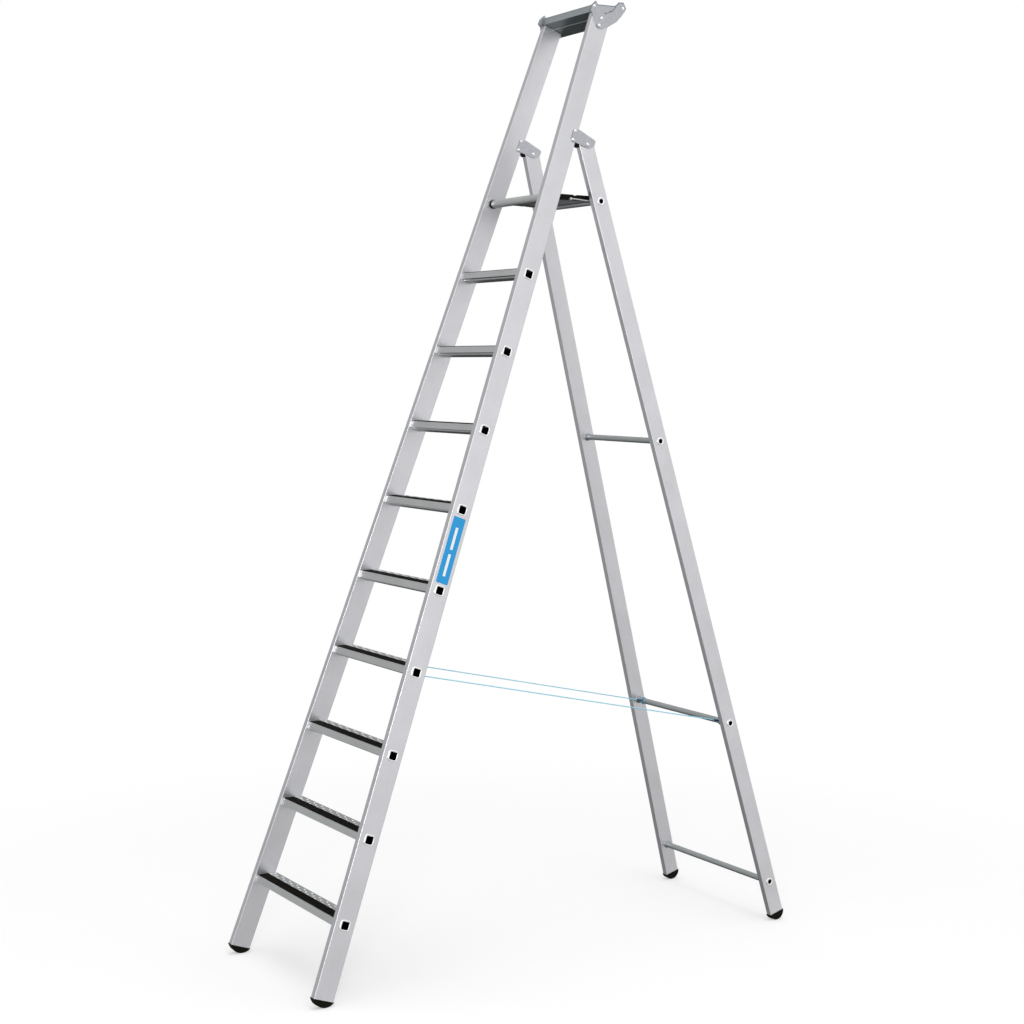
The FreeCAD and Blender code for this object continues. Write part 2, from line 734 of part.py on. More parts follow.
cap_thick = spec.cap_outer - spec.deck_half
hump_top = deck_top + spec.cap_hump
side_cap_outline = [
    (25, deck_bottom), (spec.deck_rear_y, deck_bottom), (spec.deck_rear_y, hump_top),
    (104, hump_top), (98, deck_top - 0.5), (94, deck_top - 0.5), (88, hump_top),
    (34, hump_top), (25, deck_top),
]
for side_name, side in SIDES.items():
    start = spec.deck_half.value if side > 0 else -spec.cap_outer.value
    cap = prism(f"side_cap_{side_name}_block", side_cap_outline, cap_thick, shifted(floor_place, start))
    node(cap, f"platform_side_cap_{side_name}")

rest_outline = rectangle(spec.deck_rear_y, spec.rest_rear_y, spec.rest_bottom_z, deck_top)
node(prism("rear_rest_block", rest_outline, spec.cap_outer * 2, floor_place, middle=True),
     "platform_rear_rest")

link_pin_point = (spec.link_pin_y.value, spec.link_pin_z.value)
link_pins = []
for side_name, side in SIDES.items():
    pin_length = spec.link_pin_tip - spec.cap_outer
    start = spec.cap_outer.value if side > 0 else -spec.link_pin_tip.value
    link_pins.append(rod(f"link_pin_{side_name}", spec.link_pin_radius, pin_length,
                         shifted(level_place(link_pin_point), start)))
pins = doc.addObject("Part::Compound", "link_pin_group")
pins.Links = link_pins
node(pins, "platform_link_pins")

# Platform links: bent wires from the platform's side pins to the top rung --------------------------

top_rung_point = rear_point(rung_alongs[0], spec.rung_depth.value)
link_run = (link_pin_point[0] - top_rung_point[0], link_pin_point[1] - top_rung_point[1])
eye_ring = (spec.rung_diameter + spec.link_wire) / 2 + spec.link_eye_play
wire_radius = spec.link_wire / 2


def ring_of_wire(name, ring_radius, place):
    """A wire eye around the place's X axis."""
    item = doc.addObject("Part::Torus", name)
    bind(item, Radius1=ring_radius, Radius2=wire_radius)
    item.Placement = place * Placement(Vector(0, 0, 0), CROSSWAYS)
    return item


for side_name, side in SIDES.items():
    x = side * spec.link_offset.value
    eye = ring_of_wire(f"link_eye_{side_name}", eye_ring, shifted(level_place(top_rung_point), x))
    reach = hypot(*link_run)
    sink = eye_ring.value
    unit = Vector(0, link_run[0] / reach, link_run[1] / reach)
    place = Placement(Vector(x, *top_rung_point) + unit * sink, Rotation(Vector(1, 0, 0), unit))
    wire = rod(f"link_wire_{side_name}", wire_radius, reach - sink, place)
    tip = doc.addObject("Part::Sphere", f"link_tip_{side_name}")
    bind(tip, Radius=wire_radius)
    tip.Placement = Placement(Vector(x, *link_pin_point), Rotation())
    node(fuse(f"link_{side_name}_solid", [eye, wire, tip]), f"platform_link_{side_name}")

# Label and cords ----------------------------------------------------------------------------------

label_length = spec.label_end - spec.label_start
label = prism("label_sheet", rectangle(-spec.label_half, spec.label_half, 0, label_length),
              spec.label_thick, shifted(front_place(1, spec.label_start.value), half_front),
              corner_radius=3)
node(label, "stile_label")

anchors = []
loops = []
for side_name, side in SIDES.items():
    anchor_place = shifted(front_place(side, spec.cord_anchor_along.value), 0,
                           spec.cord_anchor_depth.value)
    reach = spec.cord_anchor_length.value
    start = -half_front - reach if side > 0 else half_front
    anchors.append(rod(f"anchor_{side_name}", spec.cord_anchor_radius, spec.cord_anchor_length,
                       shifted(anchor_place, start)))
    hold = anchor_place.multVec(Vector(-side * (half_front + reach / 2), spec.cord_anchor_radius.value, 0))
    rung_point = rear_point(rung_alongs[2], spec.rung_depth.value)
    loop_centre = Vector(side * spec.cord_loop_x.value, *rung_point)
    unit = (hold - loop_centre).normalize()
    band_place = shifted(level_place(rung_point), loop_centre.x - spec.cord_loop_width.value / 2)
    band = rod(f"loop_band_{side_name}", spec.cord_loop_radius, spec.cord_loop_width, band_place)
    sleeve_start = rung_radius.value + spec.ferrule_standoff.value
    sleeve_place = Placement(loop_centre + unit * sleeve_start, Rotation(Vector(1, 0, 0), unit))
    sleeve = rod(f"loop_sleeve_{side_name}", spec.ferrule_radius, spec.ferrule_length, sleeve_place)
    loops.append(cut(f"loop_{side_name}", fuse(f"loop_{side_name}_solid", [band, sleeve]), rung_holes[2]))
    exit_point = loop_centre + unit * (sleeve_start + spec.ferrule_length.value)
    cord_place = Placement(exit_point, Rotation(Vector(1, 0, 0), unit))
    cord = rod(f"cord_{side_name}", spec.cord_diameter / 2, (hold - exit_point).Length, cord_place)
    node(cord, f"spreader_cord_{side_name}")
anchor_group = doc.addObject("Part::Compound", "anchor_group")
anchor_group.Links = anchors
node(anchor_group, "cord_anchors")
loop_group = doc.addObject("Part::Compound", "loop_group")
loop_group.Links = loops
node(loop_group, "cord_loops")

# Check and export ---------------------------------------------------------------------------------

doc.recompute()
for item in doc.Objects:
    if "Invalid" in item.State or "Error" in item.State:
        raise RuntimeError(f"{item.Label} did not build: {item.State}")
for item in nodes:
    if item.Shape.isNull() or not item.Shape.isValid():
        raise RuntimeError(f"{item.Label} has no valid shape")
for item in nodes:
    item.Shape.exportStep(os.path.join("parts", item.Label + ".step"))
print(len(nodes), "sub-parts")
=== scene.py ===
"""Platform stepladder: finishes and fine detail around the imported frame."""
from math import cos, pi, radians, sin, tan
import bmesh
import bpy
from mathutils import Matrix, Vector


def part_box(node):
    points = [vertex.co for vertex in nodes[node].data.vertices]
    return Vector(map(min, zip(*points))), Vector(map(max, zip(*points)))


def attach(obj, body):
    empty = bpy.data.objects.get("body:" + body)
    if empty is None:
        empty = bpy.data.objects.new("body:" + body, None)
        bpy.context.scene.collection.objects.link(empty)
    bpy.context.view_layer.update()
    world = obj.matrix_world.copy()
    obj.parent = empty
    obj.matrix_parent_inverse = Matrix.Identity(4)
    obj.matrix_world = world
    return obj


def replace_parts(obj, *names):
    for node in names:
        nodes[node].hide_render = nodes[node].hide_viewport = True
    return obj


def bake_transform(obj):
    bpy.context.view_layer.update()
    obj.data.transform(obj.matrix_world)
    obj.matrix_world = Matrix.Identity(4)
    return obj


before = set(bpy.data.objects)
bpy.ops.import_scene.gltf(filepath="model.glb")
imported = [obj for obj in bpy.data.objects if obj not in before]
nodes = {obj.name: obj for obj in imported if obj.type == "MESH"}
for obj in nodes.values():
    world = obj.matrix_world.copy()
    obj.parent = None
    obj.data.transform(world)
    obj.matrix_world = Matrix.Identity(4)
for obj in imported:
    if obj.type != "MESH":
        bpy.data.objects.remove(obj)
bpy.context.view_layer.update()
scene = bpy.context.scene
MM = 0.001

# The ladder's own angles and heights ---------------------------------------------------------------

TREADS = 9
TREAD_FIRST, TREAD_PITCH = 240.2, 250
RUNG_ALONGS = (2448, 1670, 705, 137.5)
STILES = {
    "front": {"floor": (288.7, -849.3), "lean": radians(19.4), "narrowing": tan(radians(2.862)),
              "half": 10.5, "tube_depth": 0},
    "rear": {"floor": (287.35, 854.3), "lean": radians(-16.3), "narrowing": tan(radians(2.912)),
             "half": 10.25, "tube_depth": 1},
}
SIDES = {"left": -1, "right": 1}


def stile_point(section, along, depth=0):
    """Y and Z, in millimetres, of a point so far up a section's stiles and so far behind their middle."""
    stile = STILES[section]
    lean = stile["lean"]
    return (stile["floor"][1] + along * sin(lean) + depth * cos(lean),
            along * cos(lean) - depth * sin(lean))


def stile_place(section, side, along, across=0, depth=0):
    """The frame on a stile, in metres: X across it, Y behind it, Z up it, from its middle."""
    stile = STILES[section]
    lean = stile["lean"]
    up = Vector((-side * stile["narrowing"], sin(lean), cos(lean))).normalized()
    behind = Vector((0, cos(lean), -sin(lean)))
    crosswise = behind.cross(up)
    centre = Vector((side * (stile["floor"][0] - stile["narrowing"] * along), *stile_point(section, along)))
    place = Matrix((crosswise, behind, up)).transposed().to_4x4()
    place.translation = (centre + crosswise * across + behind * depth) * MM
    return place


# Camera, light and floor ---------------------------------------------------------------------------

def add_camera():
    """A level studio camera, a little left of square to the right-hand stiles."""
    azimuth, elevation, roll = radians(57.444), radians(4.238), radians(0.71)
    back = Vector((sin(azimuth) * cos(elevation), -cos(azimuth) * cos(elevation), sin(elevation)))
    level = Vector((cos(azimuth), sin(azimuth), 0))
    upright = back.cross(level)
    right = level * cos(roll) + upright * sin(roll)
    up = upright * cos(roll) - level * sin(roll)
    data = bpy.data.cameras.new("camera")
    data.sensor_width = 36
    data.lens = 63.73
    camera = bpy.data.objects.new("camera", data)
    place = Matrix((right, up, back)).transposed().to_4x4()
    place.translation = (4.8314, -3.1200, 1.7995)
    camera.matrix_world = place
    scene.collection.objects.link(camera)
    scene.camera = camera


def add_softbox(name, spot, target, size, power):
    data = bpy.data.lights.new(name, "AREA")
    data.shape = "SQUARE"
    data.size = size
    data.energy = power
    lamp = bpy.data.objects.new(name, data)
    lamp.location = spot
    lamp.rotation_euler = (Vector(target) - Vector(spot)).to_track_quat("-Z", "Y").to_euler()
    scene.collection.objects.link(lamp)


def add_world():
    """A white studio. The camera sees plain white; what lights the ladder is a tent that is brightest
    at the right and dark straight below, with a black flag set low behind the left."""
    world = bpy.data.worlds.new("studio")
    world.use_nodes = True
    tree = world.node_tree
    link = tree.links.new
    direction = tree.nodes.new("ShaderNodeTexCoord").outputs["Generated"]
    split = tree.nodes.new("ShaderNodeSeparateXYZ")
    link(direction, split.inputs["Vector"])
    height = tree.nodes.new("ShaderNodeMapRange")
    height.inputs["From Min"].default_value = -1
    link(split.outputs["Z"], height.inputs["Value"])
    tent = tree.nodes.new("ShaderNodeValToRGB")
    stops = tent.color_ramp.elements
    for position, brightness in TENT_BY_HEIGHT:
        stop = stops.new(position)
        stop.color = (brightness, brightness, brightness, 1)
    stops.remove(stops[0])
    stops.remove(stops[-1])
    link(height.outputs["Result"], tent.inputs["Fac"])
    sideways = tree.nodes.new("ShaderNodeVectorMath")
    sideways.operation = "DOT_PRODUCT"
    sideways.inputs[1].default_value = BRIGHT_SIDE
    link(direction, sideways.inputs[0])
    balance = tree.nodes.new("ShaderNodeMapRange")
    balance.inputs["From Min"].default_value = -1
    balance.inputs["To Min"].default_value = TENT_DIM
    balance.inputs["To Max"].default_value = TENT_BRIGHT
    link(sideways.outputs["Value"], balance.inputs["Value"])
    backwards = tree.nodes.new("ShaderNodeVectorMath")
    backwards.operation = "DOT_PRODUCT"
    backwards.inputs[1].default_value = FLAG_SIDE
    link(direction, backwards.inputs[0])
    flag = tree.nodes.new("ShaderNodeMapRange")
    flag.inputs["From Min"].default_value = 0.80
    flag.inputs["From Max"].default_value = 0.94
    flag.inputs["To Min"].default_value = 1
    flag.inputs["To Max"].default_value = 0.03
    link(backwards.outputs["Value"], flag.inputs["Value"])
    sided = tree.nodes.new("ShaderNodeMath")
    sided.operation = "MULTIPLY"
    link(balance.outputs["Result"], sided.inputs[0])
    link(flag.outputs["Result"], sided.inputs[1])
    lit = tree.nodes.new("ShaderNodeMath")
    lit.operation = "MULTIPLY"
    link(tent.outputs["Color"], lit.inputs[0])
    link(sided.outputs["Value"], lit.inputs[1])
    path = tree.nodes.new("ShaderNodeLightPath")
    strength = tree.nodes.new("ShaderNodeMix")
    strength.inputs["B"].default_value = 1
    link(path.outputs["Is Camera Ray"], strength.inputs["Factor"])
    link(lit.outputs["Value"], strength.inputs["A"])
    background = tree.nodes["Background"]
    background.inputs["Color"].default_value = (1, 1, 1, 1)
    link(strength.outputs["Result"], background.inputs["Strength"])
    scene.world = world


def add_floor():
    """A white sweep: it takes the ladder's soft shadow near the feet and runs out to plain white."""
    mesh = bpy.data.meshes.new("studio_floor")
    shape = bmesh.new()
    bmesh.ops.create_grid(shape, x_segments=1, y_segments=1, size=40)
    shape.to_mesh(mesh)
    shape.free()
    floor = bpy.data.objects.new("studio_floor", mesh)
    scene.collection.objects.link(floor)
    material = bpy.data.materials.new("studio_floor")
    material.use_nodes = True
    tree = material.node_tree
    link = tree.links.new
    surface = tree.nodes["Principled BSDF"]
    surface.inputs["Base Color"].default_value = (0.55, 0.55, 0.55, 1)
    surface.inputs["Roughness"].default_value = 1
    surface.inputs["Specular IOR Level"].default_value = 0
    surface.inputs["Emission Color"].default_value = (1, 1, 1, 1)
    surface.inputs["Emission Strength"].default_value = FLOOR_GLOW
    reach = tree.nodes.new("ShaderNodeVectorMath")
    reach.operation = "LENGTH"
    link(tree.nodes.new("ShaderNodeTexCoord").outputs["Object"], reach.inputs[0])
    fade = tree.nodes.new("ShaderNodeMapRange")
    fade.interpolation_type = "SMOOTHSTEP"
    fade.inputs["From Min"].default_value = 1.2
    fade.inputs["From Max"].default_value = 3.0
    link(reach.outputs["Value"], fade.inputs["Value"])
    white = tree.nodes.new("ShaderNodeEmission")
    sweep = tree.nodes.new("ShaderNodeMixShader")
    link(fade.outputs["Result"], sweep.inputs["Fac"])
    link(surface.outputs["BSDF"], sweep.inputs[1])
    link(white.outputs["Emission"], sweep.inputs[2])
    clear = tree.nodes.new("ShaderNodeBsdfTransparent")
    seen = tree.nodes.new("ShaderNodeMixShader")
    path = tree.nodes.new("ShaderNodeLightPath")
    link(path.outputs["Is Camera Ray"], seen.inputs["Fac"])
    link(clear.outputs["BSDF"], seen.inputs[1])
    link(sweep.outputs["Shader"], seen.inputs[2])
    link(seen.outputs["Shader"], tree.nodes["Material Output"].inputs["Surface"])
    mesh.materials.append(material)


BRIGHT_SIDE = (0.84, 0.54, 0)
FLAG_SIDE = (-0.82, 0.53, -0.22)
TENT_DIM = 0.60
TENT_BRIGHT = 1.02
TENT_BY_HEIGHT = ((0.001, 0.02), (0.12, 0.05), (0.22, 0.32), (0.35, 0.76), (0.45, 0.86),
                  (0.999, 0.92))
FLOOR_GLOW = 0.42

scene.view_settings.view_transform = "Standard"
add_camera()
add_world()
add_floor()
add_softbox("side_softbox", (9.0, 1.0, 3.0), (0, 0, 1.3), 5.0, 90)
add_softbox("top_softbox", (0.5, -0.5, 7.5), (0, 0, 0), 5.0, 160)
add_softbox("front_softbox", (6.3, -4.6, 2.4), (0, 0, 1.4), 1.5, 170)


# Shared effects ------------------------------------------------------------------------------------

def new_group(name, inputs, outputs):
    """An empty shader node group; returns it with its input and output nodes."""
    group = bpy.data.node_groups.new(name, "ShaderNodeTree")
    for socket, kind, start in inputs:
        made = group.interface.new_socket(socket, in_out="INPUT", socket_type=kind)
        if start is not None:
            made.default_value = start
    for socket, kind in outputs:
        group.interface.new_socket(socket, in_out="OUTPUT", socket_type=kind)
    return group, group.nodes.new("NodeGroupInput"), group.nodes.new("NodeGroupOutput")


def drawn_lines_group():
    """Fine lines that run the length of an extrusion, with a slow cloudiness under them."""
    group, given, result = new_group(
        "drawn_lines",
        [("Vector", "NodeSocketVector", None), ("Lines", "NodeSocketFloat", 1.0),
         ("Cloud", "NodeSocketFloat", 1.0)],
        [("Tone", "NodeSocketFloat"), ("Height", "NodeSocketFloat")])
    stretch = group.nodes.new("ShaderNodeMapping")
    stretch.inputs["Scale"].default_value = (900, 900, 2.2)
    lines = group.nodes.new("ShaderNodeTexNoise")
    lines.inputs["Scale"].default_value = 1
    lines.inputs["Detail"].default_value = 3
    cloud = group.nodes.new("ShaderNodeTexNoise")
    cloud.inputs["Scale"].default_value = 9
    cloud.inputs["Detail"].default_value = 4
    lined = group.nodes.new("ShaderNodeMath")
    lined.operation = "MULTIPLY"
    clouded = group.nodes.new("ShaderNodeMath")
    clouded.operation = "MULTIPLY"
    total = group.nodes.new("ShaderNodeMath")
    total.operation = "ADD"
    link = group.links.new
    link(given.outputs["Vector"], stretch.inputs["Vector"])
    link(stretch.outputs["Vector"], lines.inputs["Vector"])
    link(given.outputs["Vector"], cloud.inputs["Vector"])
    link(lines.outputs["Fac"], lined.inputs[0])
    link(given.outputs["Lines"], lined.inputs[1])
    link(cloud.outputs["Fac"], clouded.inputs[0])
    link(given.outputs["Cloud"], clouded.inputs[1])
    link(lined.outputs["Value"], total.inputs[0])
    link(clouded.outputs["Value"], total.inputs[1])
    link(total.outputs["Value"], result.inputs["Tone"])
    link(lined.outputs["Value"], result.inputs["Height"])
    return group


def scuff_group():
    """Sparse light rubs from handling; Mask is 1 on a rub."""
    group, given, result = new_group(
        "scuffs",
        [("Vector", "NodeSocketVector", None), ("Scale", "NodeSocketFloat", 30.0),
         ("Threshold", "NodeSocketFloat", 0.62)],
        [("Mask", "NodeSocketFloat")])
    patches = group.nodes.new("ShaderNodeTexNoise")
    patches.inputs["Detail"].default_value = 6
    patches.inputs["Roughness"].default_value = 0.65
    rubs = group.nodes.new("ShaderNodeMapRange")
    rubs.inputs["To Max"].default_value = 1
    edge = group.nodes.new("ShaderNodeMath")
    edge.operation = "ADD"
    edge.inputs[1].default_value = 0.12
    link = group.links.new
    link(given.outputs["Vector"], patches.inputs["Vector"])
    link(given.outputs["Scale"], patches.inputs["Scale"])
    link(patches.outputs["Fac"], rubs.inputs["Value"])
    link(given.outputs["Threshold"], rubs.inputs["From Min"])
    link(given.outputs["Threshold"], edge.inputs[0])
    link(edge.outputs["Value"], rubs.inputs["From Max"])
    link(rubs.outputs["Result"], result.inputs["Mask"])
    return group


def grain_group():
    """Fine pebble grain of moulded plastic and rubber."""
    group, given, result = new_group(
        "grain",
        [("Vector", "NodeSocketVector", None), ("Scale", "NodeSocketFloat", 900.0)],
        [("Height", "NodeSocketFloat"), ("Tone", "NodeSocketFloat")])
    pebbles = group.nodes.new("ShaderNodeTexVoronoi")
    speck = group.nodes.new("ShaderNodeTexNoise")
    speck.inputs["Detail"].default_value = 2
    link = group.links.new
    link(given.outputs["Vector"], pebbles.inputs["Vector"])
    link(given.outputs["Scale"], pebbles.inputs["Scale"])
    link(given.outputs["Vector"], speck.inputs["Vector"])
    link(given.outputs["Scale"], speck.inputs["Scale"])
    link(pebbles.outputs["Distance"], result.inputs["Height"])
    link(speck.outputs["Fac"], result.inputs["Tone"])
    return group


DRAWN_LINES = drawn_lines_group()
SCUFFS = scuff_group()
GRAIN = grain_group()


# Materials -----------------------------------------------------------------------------------------

def new_material(name, metallic, roughness):
    """A material with its surface and Object coordinates ready to use."""
    material = bpy.data.materials.new(name)
    material.use_nodes = True
    tree = material.node_tree
    surface = tree.nodes["Principled BSDF"]
    surface.inputs["Metallic"].default_value = metallic
    surface.inputs["Roughness"].default_value = roughness
    coordinates = tree.nodes.new("ShaderNodeTexCoord")
    return material, tree, surface, coordinates.outputs["Object"]


def place_group(tree, group, vector, **values):
    item = tree.nodes.new("ShaderNodeGroup")
    item.node_tree = group
    tree.links.new(vector, item.inputs["Vector"])
    for socket, value in values.items():
        item.inputs[socket].default_value = value
    return item


def turned(tree, vector, axis, angle):
    """Coordinates turned about a row axis, so that Z runs along the piece."""
    turn = tree.nodes.new("ShaderNodeVectorRotate")
    turn.rotation_type = axis
    turn.inputs["Angle"].default_value = angle
    tree.links.new(vector, turn.inputs["Vector"])
    return turn.outputs["Vector"]


def shade(tree, tone, surface, dark, light, low=0.0, high=1.0):
    """Colour the surface from dark to light as tone goes from low to high."""
    ramp = tree.nodes.new("ShaderNodeValToRGB")
    ramp.color_ramp.elements[0].position = low
    ramp.color_ramp.elements[0].color = (*dark, 1)
    ramp.color_ramp.elements[1].position = high
    ramp.color_ramp.elements[1].color = (*light, 1)
    tree.links.new(tone, ramp.inputs["Fac"])
    tree.links.new(ramp.outputs["Color"], surface.inputs["Base Color"])


def roughen(tree, mask, surface, smooth, rough):
    spread = tree.nodes.new("ShaderNodeMapRange")
    spread.inputs["To Min"].default_value = smooth
    spread.inputs["To Max"].default_value = rough
    tree.links.new(mask, spread.inputs["Value"])
    tree.links.new(spread.outputs["Result"], surface.inputs["Roughness"])


def emboss(tree, height, surface, strength, distance):
    bump = tree.nodes.new("ShaderNodeBump")
    bump.inputs["Strength"].default_value = strength
    bump.inputs["Distance"].default_value = distance
    tree.links.new(height, bump.inputs["Height"])
    tree.links.new(bump.outputs["Normal"], surface.inputs["Normal"])


def extruded_aluminium(name, axis, angle, dark, light):
    """Bare extruded aluminium: drawn lines along the piece and a few handling rubs."""
    material, tree, surface, vector = new_material(name, 0.94, 0.4)
    lines = place_group(tree, DRAWN_LINES, turned(tree, vector, axis, angle), Lines=0.5, Cloud=0.5)
    scuffs = place_group(tree, SCUFFS, vector, Scale=26, Threshold=0.6)
    shade(tree, lines.outputs["Tone"], surface, dark, light, 0.3, 0.7)
    roughen(tree, scuffs.outputs["Mask"], surface, 0.38, 0.5)
    emboss(tree, lines.outputs["Height"], surface, 0.12, 0.0002)
    return material


def galvanised_steel(name, dark, light):
    """Bright zinc on steel sheet and wire, with a faint spangle."""
    material, tree, surface, vector = new_material(name, 0.9, 0.4)
    spangle = tree.nodes.new("ShaderNodeTexVoronoi")
    spangle.inputs["Scale"].default_value = 160
    tree.links.new(vector, spangle.inputs["Vector"])
    shade(tree, spangle.outputs["Color"], surface, dark, light)
    scuffs = place_group(tree, SCUFFS, vector, Scale=40, Threshold=0.55)
    roughen(tree, scuffs.outputs["Mask"], surface, 0.34, 0.5)
    grain = place_group(tree, GRAIN, vector, Scale=700)
    emboss(tree, grain.outputs["Height"], surface, 0.08, 0.0002)
    return material


def moulded(name, dark, light, roughness, grain_scale, bump, specular=0.06):
    """Moulded plastic or rubber with a pebble grain."""
    material, tree, surface, vector = new_material(name, 0, roughness)
    surface.inputs["Specular IOR Level"].default_value = specular
    grain = place_group(tree, GRAIN, vector, Scale=grain_scale)
    scuffs = place_group(tree, SCUFFS, vector, Scale=55, Threshold=0.58)
    shade(tree, grain.outputs["Tone"], surface, dark, light)
    roughen(tree, scuffs.outputs["Mask"], surface, roughness, roughness + 0.15)
    emboss(tree, grain.outputs["Height"], surface, bump, 0.0003)
    return material


def film(name, dark, light):
    """Printed film under a thin clear gloss."""
    material, tree, surface, vector = new_material(name, 0, 0.35)
    surface.inputs["Specular IOR Level"].default_value = 0.3
    surface.inputs["Coat Weight"].default_value = 0.12
    surface.inputs["Coat Roughness"].default_value = 0.2
    grain = place_group(tree, GRAIN, vector, Scale=240)
    shade(tree, grain.outputs["Tone"], surface, dark, light)
    emboss(tree, grain.outputs["Height"], surface, 0.05, 0.0001)
    return material


def braid(name, dark, light):
    """Braided cord: two sets of strands crossing round it, from the cord's own UV map."""
    material, tree, surface, _ = new_material(name, 0, 0.7)
    uv = tree.nodes.new("ShaderNodeUVMap")
    uv.uv_map = "along"
    heights = []
    for slant in (1, -1):
        mapping = tree.nodes.new("ShaderNodeMapping")
        mapping.inputs["Scale"].default_value = (1, slant, 1)
        strands = tree.nodes.new("ShaderNodeTexWave")
        strands.bands_direction = "DIAGONAL"
        strands.inputs["Scale"].default_value = 1.3
        tree.links.new(uv.outputs["UV"], mapping.inputs["Vector"])
        tree.links.new(mapping.outputs["Vector"], strands.inputs["Vector"])
        heights.append(strands.outputs["Fac"])
    over = tree.nodes.new("ShaderNodeMath")
    over.operation = "MAXIMUM"
    tree.links.new(heights[0], over.inputs[0])
    tree.links.new(heights[1], over.inputs[1])
    shade(tree, over.outputs["Value"], surface, dark, light)
    emboss(tree, over.outputs["Value"], surface, 0.6, 0.0004)
    return material


FRONT_ALUMINIUM = extruded_aluminium("front_stile_aluminium", "X_AXIS", radians(19.4),
                                     (0.60, 0.60, 0.62), (0.70, 0.70, 0.73))
REAR_ALUMINIUM = extruded_aluminium("rear_stile_aluminium", "X_AXIS", radians(-16.3),
                                    (0.60, 0.60, 0.62), (0.70, 0.70, 0.73))
CROSS_ALUMINIUM = extruded_aluminium("cross_aluminium", "Y_AXIS", pi / 2,
                                     (0.54, 0.56, 0.56), (0.66, 0.67, 0.68))
# Near-white copy of the tread aluminium: painted highlight on the stud tops.
STUD_PAINTED_HIGHLIGHT = extruded_aluminium("stud_painted_highlight", "Y_AXIS", pi / 2,
                                (0.86, 0.86, 0.87), (0.93, 0.93, 0.94))
# Near-white copy of the aluminium: painted highlight round the flared mouths of the treads and rungs.
LIP_PAINTED_HIGHLIGHT = extruded_aluminium("lip_painted_highlight", "X_AXIS", 0, (0.94, 0.94, 0.94), (0.99, 0.99, 0.99))
TRAY_ALUMINIUM = extruded_aluminium("tray_aluminium", "Y_AXIS", pi / 2,
                                    (0.36, 0.40, 0.41), (0.44, 0.48, 0.49))
RUNG_ALUMINIUM = extruded_aluminium("rung_aluminium", "Y_AXIS", pi / 2,
                                    (0.40, 0.43, 0.43), (0.50, 0.53, 0.54))
PLATE_STEEL = galvanised_steel("zinc_sheet", (0.42, 0.43, 0.46), (0.50, 0.51, 0.55))
# Dark copy of the zinc: painted shade for the shadow line along the end plates' edges and in their curved
# slot.
PLATE_EDGE_PAINTED_SHADE = galvanised_steel("plate_edge_painted_shade", (0.10, 0.15, 0.18), (0.17, 0.23, 0.26))
WIRE_STEEL = galvanised_steel("zinc_wire", (0.66, 0.67, 0.69), (0.76, 0.77, 0.79))
BRIGHT_STEEL = galvanised_steel("bright_rivet", (0.84, 0.84, 0.86), (0.92, 0.92, 0.92))
BLACK_PLASTIC = moulded("black_plastic", (0.004, 0.0035, 0.002), (0.008, 0.007, 0.004), 0.42, 900, 0.25)
GRIP_RUBBER = moulded("grip_rubber", (0.003, 0.0025, 0.0015), (0.006, 0.005, 0.003), 0.6, 1400, 0.35,
                      0.04)
# Near-black sleeve material: painted shade for the unlit inside of the tread and rung ends.
BORE_PAINTED_SHADE = moulded("bore_painted_shade", (0.0004, 0.0004, 0.0003), (0.0008, 0.0008, 0.0006), 0.9, 700, 0.2, 0)
BLUE_FILM = film("blue_film", (0.010, 0.27, 0.60), (0.014, 0.31, 0.66))
WHITE_FILM = film("white_film", (0.75, 0.77, 0.78), (0.85, 0.86, 0.87))
BLUE_SLEEVE = moulded("blue_sleeve", (0.006, 0.04, 0.14), (0.01, 0.06, 0.20), 0.35, 700, 0.15, 0.3)
BLUE_BRAID = braid("blue_braid", (0.10, 0.42, 0.62), (0.36, 0.74, 0.86))
LOOP_BRAID = moulded("blue_loop", (0.06, 0.30, 0.48), (0.20, 0.55, 0.72), 0.6, 500, 0.4, 0.3)


def finish_for(name):
    """The material for a frame node, by its name."""
    if name.startswith("tread_grip"):
        return GRIP_RUBBER
    if name.startswith("front_stile"):
        return FRONT_ALUMINIUM
    if name.startswith("rear_stile"):
        return REAR_ALUMINIUM
    if "foot" in name or "cap" in name or "bush" in name or name == "platform_rear_rest":
        return BLACK_PLASTIC
    if name in ("tray_rivets", "hinge_rivets") or name.startswith("hinge_pin"):
        return BRIGHT_STEEL
    if name.startswith(("hinge_plate", "tray_end")):
        return PLATE_STEEL
    if name.startswith(("platform_link", "cord_anchors")):
        return WIRE_STEEL
    if name == "stile_label":
        return BLUE_FILM
    if name == "cord_loops":
        return BLUE_SLEEVE
    if name.startswith("spreader_cord"):
        return BLUE_BRAID
    if name == "tool_tray":
        return TRAY_ALUMINIUM
    if name.startswith("rear_rung"):
        return RUNG_ALUMINIUM
    return CROSS_ALUMINIUM


for name, item in nodes.items():
    item.data.materials.clear()
    item.data.materials.append(finish_for(name))


# Building blocks -----------------------------------------------------------------------------------

def add_piece(name, shape, material, body, smooth=None):
    """Turn a finished bmesh into a piece that rides on a body."""
    bmesh.ops.remove_doubles(shape, verts=shape.verts, dist=1e-6)
    bmesh.ops.recalc_face_normals(shape, faces=shape.faces)
    mesh = bpy.data.meshes.new(name)
    shape.to_mesh(mesh)
    shape.free()
    mesh.materials.append(material)
    piece = bpy.data.objects.new(name, mesh)
    scene.collection.objects.link(piece)
    if smooth:
        mesh.shade_smooth()
        mesh.set_sharp_from_angle(angle=smooth)
    if body:
        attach(piece, body)
    return piece


